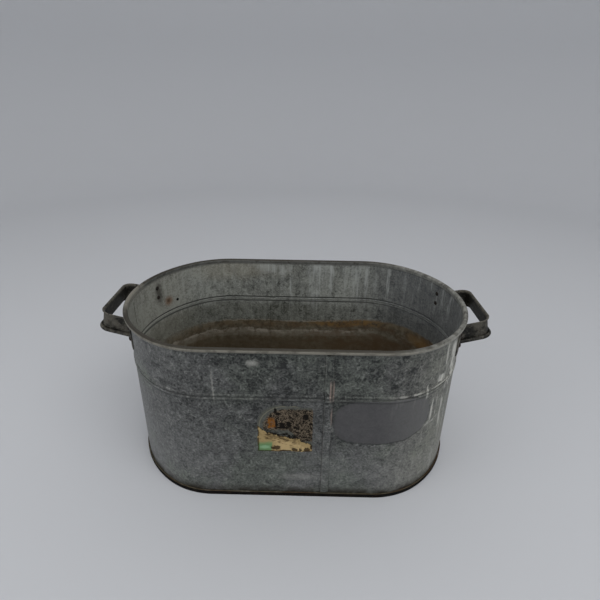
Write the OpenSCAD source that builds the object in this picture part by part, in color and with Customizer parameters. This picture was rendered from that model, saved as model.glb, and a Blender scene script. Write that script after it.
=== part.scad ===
// Oval galvanized wash tub: two body sheets locked together by vertical seams, a wired rim,
// a double-seamed bottom pan, and a riveted sheet handle at each end.
// The origin is at the middle of the footprint, on the surface that the tub stands on.
// X runs along the tub, -Y is the front with the paper label, and Z is up.

/* [Body] */
// Width outside the wall, front to back
body_width = 352; // [330:1:430]
// Length of the straight stretch along the front and the back
straight_length = 274; // [200:1:360]
// Radius of the four corners, outside the wall
corner_radius = 135; // [110:1:160]
// Height from the floor to the top of the rim
body_height = 298; // [270:1:380]
// Thickness of the galvanized sheet
sheet = 0.8; // [0.6:0.05:0.9]
// Space between layers that are folded into each other
fold_gap = 0.1; // [0.05:0.01:0.15]

/* [Rim] */
// Diameter of the wire in the rolled rim
wire_diameter = 6; // [5:0.1:8]
// Space between the wire and the sheet round it
wire_fit = 0.2; // [0.1:0.05:0.3]

/* [Beads] */
// Height of the lower of the two swaged beads
bead_height = 205; // [120:1:225]
// Distance between the two beads
bead_pitch = 5.7; // [5.4:0.1:12]
// How far a bead stands out of the wall
bead_rise = 1.3; // [0.8:0.1:1.5]
// Radius of a bead's section
bead_radius = 3; // [2.5:0.1:3.2]

/* [Base] */
// Height of the double seam round the foot
base_seam_height = 8; // [6:0.5:14]
// Height of the floor's upper face above the ground
floor_height = 8; // [5:0.5:12]

/* [Vertical seams] */
// Distance of the front seam from the middle, to the right; the back one mirrors it
seam_offset = 60; // [0:1:90]
// Width of the folded seam
seam_width = 10; // [6:0.5:14]
// Space left under the rim and over the base seam
seam_margin = 3; // [2:0.5:8]

/* [Handles] */
// Thickness of the handle strip
strip = 1.5; // [1:0.1:2]
// Flat height of the strip between its two curled edges
strip_web = 28; // [20:0.5:29]
// Inner radius of the flared upper edge
upper_lip = 1.75; // [1.5:0.25:4]
// Inner radius of the rolled lower edge
lower_lip = 1.75; // [1.25:0.25:3]
// Reach from the wall to the grip, along the handle
handle_reach = 49; // [38:1:60]
// Half the grip's length, to where the grip's and the arm's lines would cross
grip_half = 58; // [50:1:62]
// Inner radius of the bends between the grip and its arms
grip_bend = 15; // [8:1:18]
// Upward tilt of the handle, in degrees
handle_tilt = 12; // [8:1:20]
// Depth of the handle's middle below the rim, where it meets the wall
handle_drop = 34; // [32:1:60]
// Shift of both handles from the middle, toward the front
handle_shift = 3; // [0:1:10]

/* [Handle feet] */
// Half the distance between the rivet lines of the two feet
rivet_half = 79; // [77:1:82]
// Half the distance between the middle lines of the two feet
foot_half = 76.5; // [75:0.5:80]
// Width of a foot
foot_width = 32; // [26:1:36]
// Depth of a foot's lower end below the rim
foot_bottom = 63; // [58:1:70]
// Depth of a foot's upper end below the rim
foot_top = 15; // [14:1:18]
// Radius of a foot's corners
foot_corner = 5; // [2:0.5:8]
// Depth of the upper rivet below the rim
rivet_depth = 26; // [24:1:28]
// Distance between a foot's two rivets
rivet_pitch = 20; // [16:1:24]
// Diameter of a rivet's shank
rivet_shank = 4.2; // [3:0.1:5]
// Diameter of a rivet's head
rivet_head = 8.4; // [7:0.1:9]
// Space between a rivet and what it holds
rivet_fit = 0.1; // [0.1:0.05:0.2]

/* [Small features] */
// Diameter of the hole punched through the left end
hole_diameter = 4; // [3:0.5:6]
// Height of that hole
hole_height = 229; // [150:1:235]
// Angle of that hole round the left end, from the middle toward the back
hole_angle = 39; // [34:1:50]
// Thickness of the worn paper label
label_thickness = 0.3; // [0.2:0.1:0.5]
// Height of the label's lower edge
label_height = 99; // [60:1:100]
// Distance of the label's left edge from the middle, to the left
label_offset = 57; // [57:1:90]

/* [Hidden] */
$fn = 96;

// The outline: straights, corners and broad ends that meet where a 3-4-5 triangle leans
end_lean = [3, 4];
lean_length = 5;
cut_reach = 100;
half_straight = straight_length / 2;
half_width = body_width / 2;
corner_y = half_width - corner_radius;
end_x = half_straight - corner_y * end_lean[0] / end_lean[1];
end_radius = corner_radius + corner_y * lean_length / end_lean[1];

// The rolled rim
wire_radius = wire_diameter / 2;
roll_radius = wire_radius + wire_fit + sheet;
roll_x = roll_radius - sheet;
roll_z = body_height - roll_radius;
bead_x = bead_rise - bead_radius;

// The double seam round the base, by layers outward from the wall's outer face
layer = sheet + fold_gap;
hook_x = 2 * fold_gap + sheet;
cover_x = 3 * fold_gap + 2 * sheet;
hook_top = base_seam_height - layer;

// The vertical seams
seam_bottom = base_seam_height + seam_margin;
seam_top = roll_z - roll_radius - seam_margin;
lap_clear = 0.6;
cut_slack = 1;

// The handles, and where their feet lie on the ends
bend_lean = [0.07584, 0.99712];
bend_angle = atan2(bend_lean[1], bend_lean[0]);
bend_tangent = tan(bend_angle / 2);
grip_straight = grip_half - grip_bend * bend_tangent;
handle_z = body_height - handle_drop;
handle_inset = 12;
handle_root = end_x + end_radius - handle_inset;
arm_overrun = 30;
foot_inner = end_radius + fold_gap;
foot_outer = foot_inner + strip;
foot_slack = 8;
rivet_heights = [body_height - rivet_depth, body_height - rivet_depth - rivet_pitch];
head_rise = rivet_head / 3;
tail_rise = rivet_head / 6;

// One layer of sheet as a rectangle between two corners
module band(x0, y0, x1, y1) {
    translate([min(x0, x1), min(y0, y1)]) square([abs(x1 - x0), abs(y1 - y0)]);
}

// The quarter disc of a fold: its inner corner, and the way to its outer corner
module fold(x, y, side_x, side_y) {
    intersection() {
        translate([x, y]) circle(r = sheet);
        band(x, y, x + side_x * sheet, y + side_y * sheet);
    }
}

// A straight stretch of a profile along X, at the front or at the back
module straight(x0, x1, front) {
    $reach = corner_radius;
    side = front ? -1 : 1;
    translate([x0, side * half_width, 0]) rotate([90, 0, 90]) linear_extrude(x1 - x0)
        mirror([front ? 1 : 0, 0]) children();
}

// A curved stretch of a profile about a centre, within a quarter turn. It is cut on the plane
// that leans by [run, rise], and what is kept lies before that plane or beyond it.
module curve(centre, radius, lean, before) {
    $reach = radius;
    far = lean * cut_reach;
    kept = before
        ? [[0, 0], [0, -cut_reach], [far[0] + far[1], -cut_reach], [far[0] + far[1], far[1]], far]
        : [[0, 0], far, [far[0], 2 * far[1]], [-cut_reach, 2 * far[1]], [-cut_reach, 0]];
    translate(centre) intersection() {
        rotate_extrude(angle = 90) translate([radius, 0]) children();
        linear_extrude(2 * body_height + cut_reach, center = true) polygon(kept);
    }
}

// The arcs of the right end, from its middle to each corner
module right_end() {
    for (side = [0, 1]) mirror([0, side, 0]) {
        curve([end_x, 0, 0], end_radius, end_lean, true) children();
        curve([half_straight, corner_y, 0], corner_radius, end_lean, false) children();
    }
}

// A profile round the whole tub
module whole_loop() {
    straight(-half_straight, half_straight, true) children();
    straight(-half_straight, half_straight, false) children();
    right_end() children();
    rotate([0, 0, 180]) right_end() children();
}

// The wall between two heights, with its two beads; x is outward from the outer face
module wall_profile(bottom, top) {
    difference() {
        union() {
            band(-sheet, bottom, 0, top);
            bead_discs(bead_radius);
        }
        band(-sheet - 2 * bead_radius, bottom, -sheet, top);
        bead_discs(bead_radius - sheet);
    }
}

module bead_discs(radius) {
    for (z = [bead_height, bead_height + bead_pitch]) translate([bead_x, z]) circle(r = radius);
}

// The sheet rolled over the wire, and left open under the roll where its edge ends
module roll_profile() {
    difference() {
        translate([roll_x, roll_z]) circle(r = roll_radius);
        translate([roll_x, roll_z]) circle(r = roll_radius - sheet);
        translate([roll_x, roll_z])
            polygon([[0, 0], [-2 * roll_radius, 0], [-2 * roll_radius, -2 * roll_radius]]);
    }
}

// The wall's lower edge, turned out and up into the base seam
module hook_profile() {
    fold(0, layer + sheet, -1, -1);
    band(0, layer, hook_x, layer + sheet);
    fold(hook_x, layer + sheet, 1, -1);
    band(hook_x, layer + sheet, hook_x + sheet, hook_top);
}

module sheet_profile(beaded) {
    if (beaded) wall_profile(layer + sheet, roll_z);
    else band(-sheet, layer + sheet, 0, roll_z);
    roll_profile();
    hook_profile();
}

// The seam's inner half, in plan: x along the wall from the seam, y outward
module seam_inner_plan() {
    fold(0, 0, 1, -1);
    band(0, 0, sheet, hook_x);
    fold(0, hook_x, 1, 1);
    band(-seam_width + lap_clear, hook_x, 0, hook_x + sheet);
}

// The seam's outer half, in plan: the step over the fold, and the hook behind it
module seam_outer_plan() {
    band(layer, -sheet, layer + sheet, cover_x);
    fold(layer, cover_x, 1, 1);
    fold(-seam_width, cover_x, -1, 1);
    band(-seam_width - sheet, layer, -seam_width, cover_x);
    fold(-seam_width, layer, -1, -1);
    band(-seam_width, fold_gap, -lap_clear, layer);
}

// A seam's plan raised to its height at the front seam
module seam_extrusion() {
    translate([seam_offset, -half_width, seam_bottom]) mirror([0, 1, 0])
        linear_extrude(seam_top - seam_bottom) children();
}

// The cover of the seam, which carries the beads across it
module seam_cover() {
    translate([0, -cover_x - sheet, 0])
        straight(seam_offset - seam_width, seam_offset + layer, true)
            wall_profile(seam_bottom, seam_top);
}

// One body sheet, from the front seam round the right end to the back seam
module body_sheet() {
    lap = seam_width + sheet + lap_clear;
    difference() {
        union() {
            straight(seam_offset, half_straight, true) sheet_profile(true);
            right_end() sheet_profile(true);
            straight(lap - seam_offset, half_straight, false) sheet_profile(true);
            straight(-seam_offset, lap - seam_offset, false) sheet_profile(false);
        }
        translate([seam_offset - cut_slack, -half_width - 2 * bead_rise, seam_bottom - fold_gap])
            cube([layer + cut_slack, 2 * bead_rise + 2 * sheet, seam_top - seam_bottom + 2 * fold_gap]);
    }
    seam_cover();
    seam_extrusion() seam_outer_plan();
    rotate([0, 0, 180]) seam_extrusion() seam_inner_plan();
}

// The places of the right end's four rivets, turned so that X runs out of the wall
module rivet_places() {
    for (side = [-1, 1], z = rivet_heights)
        translate([end_x, 0, z]) rotate([0, 0, asin((side * rivet_half - handle_shift) / end_radius)])
            translate([end_radius, 0, 0]) children();
}

// The round holes for the right end's rivets
module rivet_holes() {
    rivet_places() rotate([0, -90, 0])
        cylinder(d = rivet_shank + 2 * rivet_fit, h = 2 * foot_slack, center = true);
}

module body_sheet_right() {
    color("slategray") difference() {
        body_sheet();
        rivet_holes();
    }
}

module body_sheet_left() {
    color("lightslategray") difference() {
        rotate([0, 0, 180]) body_sheet();
        mirror([1, 0, 0]) rivet_holes();
        translate([-end_x, 0, hole_height]) rotate([0, -90, -hole_angle])
            cylinder(d = hole_diameter, h = end_radius + foot_slack);
    }
}

// The pan's edge, wrapped round the wall's hook, and its floor as far as the stretch's centre
module pan_profile() {
    band(-layer, 0, cover_x, sheet);
    fold(-layer, sheet, -1, -1);
    fold(cover_x, sheet, 1, -1);
    band(cover_x, sheet, cover_x + sheet, base_seam_height - sheet);
    fold(cover_x, base_seam_height - sheet, 1, 1);
    band(layer, base_seam_height - sheet, cover_x, base_seam_height);
    fold(layer, base_seam_height - sheet, -1, 1);
    band(fold_gap, layer + layer, layer, base_seam_height - sheet);
    band(-layer - sheet, sheet, -layer, floor_height - sheet);
    fold(-layer - sheet, floor_height - sheet, 1, 1);
    band(-$reach, floor_height - sheet, -layer - sheet, floor_height);
}

module bottom_pan() {
    middle = [
        [half_straight, corner_y], [end_x, 0], [half_straight, -corner_y],
        [-half_straight, -corner_y], [-end_x, 0], [-half_straight, corner_y],
    ];
    color("dimgray") union() {
        whole_loop() pan_profile();
        translate([0, 0, floor_height - sheet]) linear_extrude(sheet) polygon(middle);
    }
}

module rim_wire() {
    color("gray") whole_loop() translate([roll_x, roll_z]) circle(r = wire_radius);
}

// The handle strip's section: x outward from its inner face, y up
module strip_section() {
    half = strip_web / 2;
    translate([0, -half]) square([strip, strip_web]);
    intersection() {
        lip_ring(upper_lip, half);
        translate([0, half]) square([strip + upper_lip, strip + upper_lip]);
    }
    translate([strip + upper_lip, half + upper_lip]) square([strip / 2, strip]);
    difference() {
        lip_ring(lower_lip, -half);
        translate([0, -half]) square([strip + lower_lip, strip + lower_lip]);
    }
}

module lip_ring(radius, y) {
    translate([strip + radius, y]) difference() {
        circle(r = radius + strip);
        circle(r = radius);
    }
}

// Half of the handle strip in its own flat plane, with x outward from the root line
module strip_half() {
    reach = handle_reach;
    translate([reach, 0, 0]) rotate([90, 0, 180]) linear_extrude(grip_straight)
        mirror([1, 0]) strip_section();
    curve([reach - grip_bend, grip_straight, 0], grip_bend, bend_lean, true) strip_section();
    translate([reach - grip_bend, grip_straight, 0]) rotate([90, 0, 180 + bend_angle])
        linear_extrude(arm_overrun + reach) translate([-grip_bend, 0]) mirror([1, 0]) strip_section();
}

// A foot: a plate bent to the end's curve, with two rivet holes
module foot(side) {
    top = body_height - foot_top;
    bottom = body_height - foot_bottom;
    turn = asin((side * foot_half - handle_shift) / end_radius);
    translate([end_x, 0, 0]) difference() {
        intersection() {
            rotate([0, 0, turn]) translate([end_radius - foot_slack, 0, (top + bottom) / 2])
                rotate([90, 0, 90]) linear_extrude(2 * foot_slack) rounded_plate(foot_width, top - bottom);
            cylinder(r = foot_outer, h = body_height);
        }
        cylinder(r = foot_inner, h = body_height);
    }
}

module rounded_plate(width, height) {
    inner_w = width - 2 * foot_corner;
    inner_h = height - 2 * foot_corner;
    square([width, inner_h], center = true);
    square([inner_w, height], center = true);
    for (x = [-1, 1], y = [-1, 1]) translate([x * inner_w / 2, y * inner_h / 2]) circle(r = foot_corner);
}

// One handle, at the right end
module handle() {
    difference() {
        union() {
            difference() {
                translate([handle_root, -handle_shift, handle_z]) rotate([0, -handle_tilt, 0]) {
                    strip_half();
                    mirror([0, 1, 0]) strip_half();
                }
                translate([end_x, 0, 0]) cylinder(r = foot_inner + strip / 2, h = body_height + foot_slack);
            }
            foot(-1);
            foot(1);
        }
        rivet_holes();
    }
}

module handle_right() {
    color("darkolivegreen") handle();
}

module handle_left() {
    color("darkolivegreen") mirror([1, 0, 0]) handle();
}

// One rivet about X: a domed head outside, and a flatter one inside
module rivet() {
    outside = fold_gap + strip + rivet_fit;
    inside = -sheet - rivet_fit;
    rotate([0, 90, 0]) {
        translate([0, 0, inside]) cylinder(d = rivet_shank, h = outside - inside);
        translate([0, 0, outside]) rotate_extrude() dome(head_rise);
        translate([0, 0, inside]) mirror([0, 0, 1]) rotate_extrude() dome(tail_rise);
    }
}

// Half the section of a domed head, from its flat face up
module dome(rise) {
    half = rivet_head / 2;
    radius = (half * half + rise * rise) / (2 * rise);
    intersection() {
        translate([0, rise - radius]) circle(r = radius);
        square([rivet_head, rise]);
    }
}

module handle_rivets_right() {
    color("saddlebrown") rivet_places() rivet();
}

module handle_rivets_left() {
    color("saddlebrown") mirror([1, 0, 0]) rivet_places() rivet();
}

// The torn remnant of a paper label, on the front beside the seam
module paper_label() {
    torn = [
        [0, 0], [2, 8], [0, 22], [3, 40], [1, 58], [5, 74], [14, 86], [26, 93],
        [38, 95], [50, 92], [60, 94], [74, 90], [86, 91], [92, 84], [89, 66], [92, 48],
        [90, 30], [91, 12], [90, 2], [72, 0], [52, 2], [30, 0],
    ];
    color("tan") translate([-label_offset, -half_width, label_height]) rotate([90, 0, 0])
        linear_extrude(label_thickness) polygon(torn);
}

body_sheet_right();
body_sheet_left();
bottom_pan();
rim_wire();
handle_left();
handle_right();
handle_rivets_left();
handle_rivets_right();
paper_label();
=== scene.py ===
"""Oval galvanized wash tub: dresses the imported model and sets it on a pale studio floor.

Lengths are in metres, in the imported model's own frame: X along the tub, -Y to the front, Z up.
"""

import logging
import math
from dataclasses import dataclass, field
from enum import Enum
from typing import Mapping, Optional, Union

import bpy
from mathutils import Matrix, Vector


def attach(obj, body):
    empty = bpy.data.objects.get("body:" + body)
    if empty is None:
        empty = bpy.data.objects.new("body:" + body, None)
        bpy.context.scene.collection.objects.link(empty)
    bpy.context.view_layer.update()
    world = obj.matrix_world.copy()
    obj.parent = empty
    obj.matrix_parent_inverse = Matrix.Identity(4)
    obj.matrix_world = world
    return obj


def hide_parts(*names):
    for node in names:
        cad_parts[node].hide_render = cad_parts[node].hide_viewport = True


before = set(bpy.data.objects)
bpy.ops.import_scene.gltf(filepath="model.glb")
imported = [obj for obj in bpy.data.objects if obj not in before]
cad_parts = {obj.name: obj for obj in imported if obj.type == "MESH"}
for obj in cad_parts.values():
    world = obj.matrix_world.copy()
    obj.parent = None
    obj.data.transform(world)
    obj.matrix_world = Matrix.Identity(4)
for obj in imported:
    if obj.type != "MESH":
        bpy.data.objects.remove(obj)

LOG = logging.getLogger("wash_tub")

Colour = tuple[float, float, float]
Number = Union[float, "Signal"]
Feed = Union[float, tuple[float, ...], "Signal"]


def tint(red: int, green: int, blue: int) -> Colour:
    """Turns a colour as it looks on a screen into the linear values that a shader needs.

    Args:
        red: Red from 0 to 255.
        green: Green from 0 to 255.
        blue: Blue from 0 to 255.

    Returns:
        The linear colour, from 0 to 1.
    """

    def linear(level: float) -> float:
        """Undoes the screen's curve for one channel."""
        return level / 12.92 if level <= 0.04045 else ((level + 0.055) / 1.055) ** 2.4

    return (linear(red / 255), linear(green / 255), linear(blue / 255))


class Side(Enum):
    """The two ends of the tub, by the sign of X."""

    LEFT = -1
    RIGHT = 1


class Signal:
    """A shader socket, with arithmetic that adds Math nodes."""

    def __init__(self, graph: "ShaderGraph", socket: bpy.types.NodeSocket) -> None:
        """Keeps the socket and the graph that it belongs to."""
        self.graph = graph
        self.socket = socket

    def __add__(self, other: Number) -> "Signal":
        """Adds a number or another signal."""
        return self.graph.math("ADD", self, other)

    __radd__ = __add__

    def __mul__(self, other: Number) -> "Signal":
        """Multiplies by a number or another signal."""
        return self.graph.math("MULTIPLY", self, other)

    __rmul__ = __mul__

    def __sub__(self, other: Number) -> "Signal":
        """Takes a number or another signal away."""
        return self.graph.math("SUBTRACT", self, other)

    def __rsub__(self, other: Number) -> "Signal":
        """Takes this signal away from a number."""
        return self.graph.math("SUBTRACT", other, self)


class ShaderGraph:
    """A material's node tree, and the few patterns that the tub's finishes are made of."""

    def __init__(self, name: str) -> None:
        """Starts an empty material of that name."""
        self.material = bpy.data.materials.new(name)
        self.material.use_nodes = True
        self.tree = self.material.node_tree
        self.tree.nodes.clear()
        self.place = self.node("ShaderNodeTexCoord", {}, "Object")
        self.normal = self.node("ShaderNodeTexCoord", {}, "Normal")
        self.x = self.node("ShaderNodeSeparateXYZ", {0: self.place}, 0)
        self.y = self.node("ShaderNodeSeparateXYZ", {0: self.place}, 1)
        self.z = self.node("ShaderNodeSeparateXYZ", {0: self.place}, 2)

    def node(
        self, kind: str, inputs: Mapping[Union[int, str], Feed], output: Union[int, str] = 0, **settings: object
    ) -> Signal:
        """Adds any node.

        Args:
            kind: The node's type.
            inputs: Values or signals for its sockets, by name or number.
            output: The socket that the signal reads, by name or number.
            settings: The node's own settings, set before its sockets.

        Returns:
            The signal of that output.
        """
        made = self.tree.nodes.new(kind)
        for name, value in settings.items():
            setattr(made, name, value)
        for key, value in inputs.items():
            socket = made.inputs[key]
            if isinstance(value, Signal):
                self.tree.links.new(value.socket, socket)
            elif socket.type == "RGBA":
                socket.default_value = (*value[:3], 1.0)
            else:
                socket.default_value = value
        return Signal(self, made.outputs[output])

    def math(self, operation: str, first: Number, second: Number = 0.0) -> Signal:
        """Adds a Math node that works on two numbers."""
        return self.node("ShaderNodeMath", {0: first, 1: second}, operation=operation)

    def vector(self, operation: str, first: Feed, second: Feed, output: int = 0) -> Signal:
        """Adds a Vector Math node; output 1 is its number."""
        return self.node("ShaderNodeVectorMath", {0: first, 1: second}, output, operation=operation)

    def rise(self, value: Number, start: float, end: float) -> Signal:
        """Goes smoothly from 0 where value is start to 1 where it is end."""
        ends = {0: value, 1: start, 2: end, 3: 0.0, 4: 1.0}
        return self.node("ShaderNodeMapRange", ends, interpolation_type="SMOOTHSTEP")

    def stripe(self, value: Number, centre: float, half: float, soft: float) -> Signal:
        """Is 1 within half of centre, and fades to 0 over soft."""
        away = self.math("ABSOLUTE", self.math("SUBTRACT", value, centre))
        return self.rise(away, half + soft, half)

    def mix(self, factor: Number, under: Feed, over: Feed) -> Signal:
        """Lays one colour over another where factor is 1."""
        return self.node("ShaderNodeMix", {0: factor, 6: under, 7: over}, 2, data_type="RGBA")

    def noise(
        self,
        scale: float,
        detail: float = 4.0,
        stretch: Colour = (1.0, 1.0, 1.0),
        roughness: float = 0.55,
        swirl: float = 0.0,
    ) -> Signal:
        """Adds cloudy noise around 0.5.

        Args:
            scale: How many clouds there are to the metre.
            detail: How many finer sizes are added.
            stretch: How far it is squeezed along each axis.
            roughness: How strong the finer sizes are.
            swirl: How far the clouds are twisted.

        Returns:
            The noise.
        """
        inputs: dict[Union[int, str], Feed] = {
            "Vector": self.vector("MULTIPLY", self.place, stretch),
            "Scale": scale,
            "Detail": detail,
            "Roughness": roughness,
            "Distortion": swirl,
        }
        return self.node("ShaderNodeTexNoise", inputs)

    def spot(
        self,
        centre: Colour,
        radii: Colour,
        soft: float,
        ragged: float,
        scale: float,
    ) -> Signal:
        """Marks an ellipsoid.

        Args:
            centre: Its middle.
            radii: Its half sizes along each axis.
            soft: The share of the radius over which it fades.
            ragged: How far noise moves its edge, as a share of the radius.
            scale: The scale of that noise.

        Returns:
            1 inside, fading to 0 outside.
        """
        away = self.vector("SUBTRACT", self.place, centre)
        shrink = tuple(1.0 / radius for radius in radii)
        reach = self.vector("LENGTH", self.vector("MULTIPLY", away, shrink), (0.0, 0.0, 0.0), 1)
        reach = reach + (self.noise(scale, 5.0) - 0.5) * (2.0 * ragged)
        return self.rise(reach, 1.0 + soft, 1.0 - soft)

    def finish(
        self,
        colour: Feed,
        roughness: Number,
        metallic: Number,
        height: Number,
        depth: float,
        alpha: Optional[Signal] = None,
        gloss: float = 0.5,
    ) -> bpy.types.Material:
        """Closes the tree.

        Args:
            colour: The base colour.
            roughness: The roughness.
            metallic: The share of bare metal.
            height: The relief, around 0 to 1.
            depth: The relief's full depth.
            alpha: What is there at all, where the surface has holes.
            gloss: The strength of the reflection; 0.5 is that of most things.

        Returns:
            The material.
        """
        relief = self.node("ShaderNodeBump", {"Height": height, "Distance": depth, "Strength": 1.0})
        inputs: dict[Union[int, str], Feed] = {
            "Base Color": colour,
            "Roughness": roughness,
            "Metallic": metallic,
            "Specular IOR Level": gloss,
            "Normal": relief,
        }
        if alpha is not None:
            inputs["Alpha"] = alpha
        shader = self.node("ShaderNodeBsdfPrincipled", inputs)
        self.node_output(shader)
        return self.material

    def node_output(self, shader: Signal) -> None:
        """Sends a shader to the material's surface."""
        end = self.tree.nodes.new("ShaderNodeOutputMaterial")
        self.tree.links.new(shader.socket, end.inputs["Surface"])


@dataclass(frozen=True)
class Mottling:
    """The three sizes of mottling that weathered zinc shows, each around 0."""

    blotches: Signal
    etching: Signal
    grain: Signal

    @classmethod
    def on(cls, g: ShaderGraph) -> "Mottling":
        """Makes the mottling in a material."""
        blotches = g.noise(58.0, 5.0, roughness=0.65)
        etching = g.noise(118.0, 3.0, roughness=0.6, swirl=1.6)
        return cls(blotches - 0.5, etching - 0.5, g.noise(290.0, 3.0) - 0.5)

    def level(self, coarse: float, middle: float, fine: float) -> Signal:
        """Adds the three up with these weights."""
        return self.blotches * coarse + self.etching * middle + self.grain * fine


@dataclass(frozen=True)
class SheetFinish:
    """Weathered galvanized sheet, outside and inside, as on both body sheets."""

    zinc_dark: Colour = tint(34, 36, 35)
    zinc_green: Colour = tint(126, 131, 123)
    zinc_cool: Colour = tint(129, 130, 128)
    zinc_warm: Colour = tint(152, 151, 139)
    zinc_bright: Colour = tint(172, 173, 166)
    chalk: Colour = tint(206, 205, 196)
    wash: Colour = tint(192, 196, 193)
    plain_patch: Colour = tint(87, 86, 87)
    seam_rub: Colour = tint(158, 140, 130)
    seam_brown: Colour = tint(78, 66, 56)
    rust: Colour = tint(128, 90, 58)
    rust_dark: Colour = tint(40, 32, 23)
    mud: Colour = tint(76, 64, 45)
    mud_red: Colour = tint(84, 63, 38)
    silt: Colour = tint(112, 106, 90)
    ochre: Colour = tint(128, 97, 52)
    scum: Colour = tint(162, 155, 142)
    inner_dark: Colour = tint(54, 55, 52)
    inner_pale: Colour = tint(164, 167, 160)
    inner_cool: Colour = tint(104, 107, 112)
    inner_warm: Colour = tint(168, 163, 146)
    inner_olive: Colour = tint(84, 85, 72)
    rim_dark: Colour = tint(50, 46, 37)
    rim_pale: Colour = tint(170, 166, 153)
    rim_inner: Colour = tint(100, 101, 97)
    rim_height: float = 0.2895
    bead_middle: float = 0.2079
    bead_half: float = 0.0029
    tide_height: float = 0.151
    scum_height: float = 0.129
    seam_left: float = 0.0492
    runs: tuple[tuple[float, float, float], ...] = (
        (-0.014, 0.004, 0.6),
        (0.024, 0.004, 0.4),
        (0.04, 0.012, 0.75),
        (0.0735, 0.005, 1.0),
        (0.104, 0.004, 0.3),
        (0.129, 0.01, 0.65),
        (0.151, 0.005, 0.7),
        (0.195, 0.004, 0.7),
        (0.226, 0.004, 0.2),
    )
    worn: tuple[tuple[float, float, float, float, float], ...] = (
        (0.2595, 0.0066, 0.24, 0.036, 1.0),
        (0.2425, 0.002, 0.262, 0.02, 0.7),
        (0.2375, 0.007, 0.222, 0.008, 0.95),
        (0.2535, 0.005, 0.2, 0.008, 0.9),
        (0.212, 0.0026, 0.208, 0.014, 0.75),
        (0.2265, 0.0018, 0.168, 0.024, 0.85),
        (0.2485, 0.003, 0.146, 0.034, 0.7),
        (0.235, 0.0012, 0.16, 0.03, 0.45),
        (0.262, 0.002, 0.14, 0.04, 0.35),
        (0.228, 0.013, 0.14, 0.003, 0.55),
    )

    def build(self, name: str) -> bpy.types.Material:
        """Makes the material under that name."""
        g = ShaderGraph(name)
        facing = g.vector("DOT_PRODUCT", g.normal, g.vector("MULTIPLY", g.place, (1.0, 2.6, 0.0)), 1)
        outside = g.rise(facing, -0.01, 0.01)
        mottling = Mottling.on(g)
        outer = self.outer(g, mottling)
        inner = self.inner_side(g, mottling)
        rim_zone = g.rise(g.z, self.rim_height, self.rim_height + 0.0012)
        colour = g.mix(rim_zone, g.mix(outside, inner, outer), self.rim(g, facing))
        dents = g.noise(8.0, 1.0)
        relief = dents * 0.9 + g.noise(900.0, 2.0) * 0.04 + mottling.blotches * 0.05
        roughness = 0.5 + mottling.blotches * 0.5 + (1.0 - outside) * 0.12
        metallic = 0.12 + outside * 0.2
        return g.finish(colour, roughness, metallic, relief, 0.0018)

    def outer(self, g: ShaderGraph, mottling: Mottling) -> Signal:
        """Makes the outside's colour.

        Args:
            g: The material's graph.
            mottling: The zinc's mottling.

        Returns:
            The colour.
        """
        left_end = g.rise(g.x, -0.12, -0.26)
        right_end = g.rise(g.x, 0.1, 0.27)
        low = g.rise(g.z, 0.16, 0.05)
        clouds = g.noise(11.0, 4.0) - 0.5
        strokes = g.rise(g.noise(1.0, 5.0, (22.0, 22.0, 80.0)), 0.5, 0.68)
        strokes = strokes * g.rise(g.z, 0.17, 0.24)
        lower = low * (g.rise(g.x, -0.02, 0.18) * 0.16 + 0.23 - right_end * 0.2)
        # Both ends are lighter; at the right end this is painted light.
        level = 0.32 + left_end * 0.34 + right_end * 0.27 + lower + clouds * 0.5
        level = level - strokes * 0.22 + mottling.level(1.0, 1.35, 1.15)
        cast = g.rise(g.noise(9.0, 3.0) + left_end * 0.1, 0.42, 0.6)
        zinc = g.mix(cast, self.zinc_green, self.zinc_cool)
        # Painted light: the warmer, paler zinc towards the right end.
        base = g.mix(level, self.zinc_dark, g.mix(right_end * 0.7, zinc, self.zinc_warm))
        flecks = g.rise(mottling.level(0.3, 0.9, 0.2), 0.08, 0.2) * 0.2
        base = g.mix(flecks, base, self.zinc_bright)
        base = g.mix(self.marks(g), base, self.chalk)
        sooty = g.spot((0.116, -0.176, 0.031), (0.014, 0.02, 0.008), 0.8, 0.9, 80.0)
        base = g.mix(sooty * 0.35, base, self.zinc_dark)
        base = self.plain(g, base, 0.14 - clouds * 0.5 - mottling.level(0.6, 0.5, 0.3))
        # Rubbed wear, with the painted bead highlight, laid on in chalk.
        base = g.mix(self.wear_and_bead_highlight(g), base, self.chalk)
        base = self.seam_marks(g, base)
        # Painted shade, with some dirt, in a dark line under each bead, and a painted highlight in a pale line on
        # the lower bead's crest.
        lines = g.stripe(g.z, self.bead_middle - 0.007, 0.0006, 0.0016) * 0.7
        lines = lines + g.stripe(g.z, self.bead_middle, 0.0004, 0.0012)
        base = g.mix(g.stripe(g.z, self.bead_middle - 0.0035, 0.001, 0.0016) * 0.09, base, self.zinc_bright)
        base = g.mix(lines * (left_end * 0.12 + 0.54), base, self.zinc_dark)
        # The wall is darker towards its foot.
        foot = g.rise(g.z, 0.026, 0.01) * (g.rise(g.noise(60.0, 4.0), 0.35, 0.6) * 0.6 + 0.4)
        return g.mix(foot * 0.85, base, self.rust_dark)

    def plain(self, g: ShaderGraph, base: Signal, shade: Signal) -> Signal:
        """Lays the plain oblong over the front, with a darker halo round it and a painted shadow line under it.

        Args:
            g: The material's graph.
            base: The colour of the sheet.
            shade: How much darker the oblong is from place to place.

        Returns:
            The colour with the oblong.
        """
        front = g.rise(g.y, -0.05, -0.09)
        # The halo is darker round the whole oblong, and darker still towards its lower edge as a painted shadow
        # line.
        halo = self.patch(g, 0.0026, 0.07) * front * (g.rise(g.z, 0.14, 0.124) * 0.3 + 0.4)
        base = g.mix(halo, base, self.zinc_dark)
        colour = g.mix(shade, self.plain_patch, self.zinc_dark)
        colour = g.mix(g.rise(g.x, 0.13, 0.215) * 0.15, colour, self.zinc_bright)
        return g.mix(self.patch(g, 0.0, 0.1) * front * 0.94, base, colour)

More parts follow.
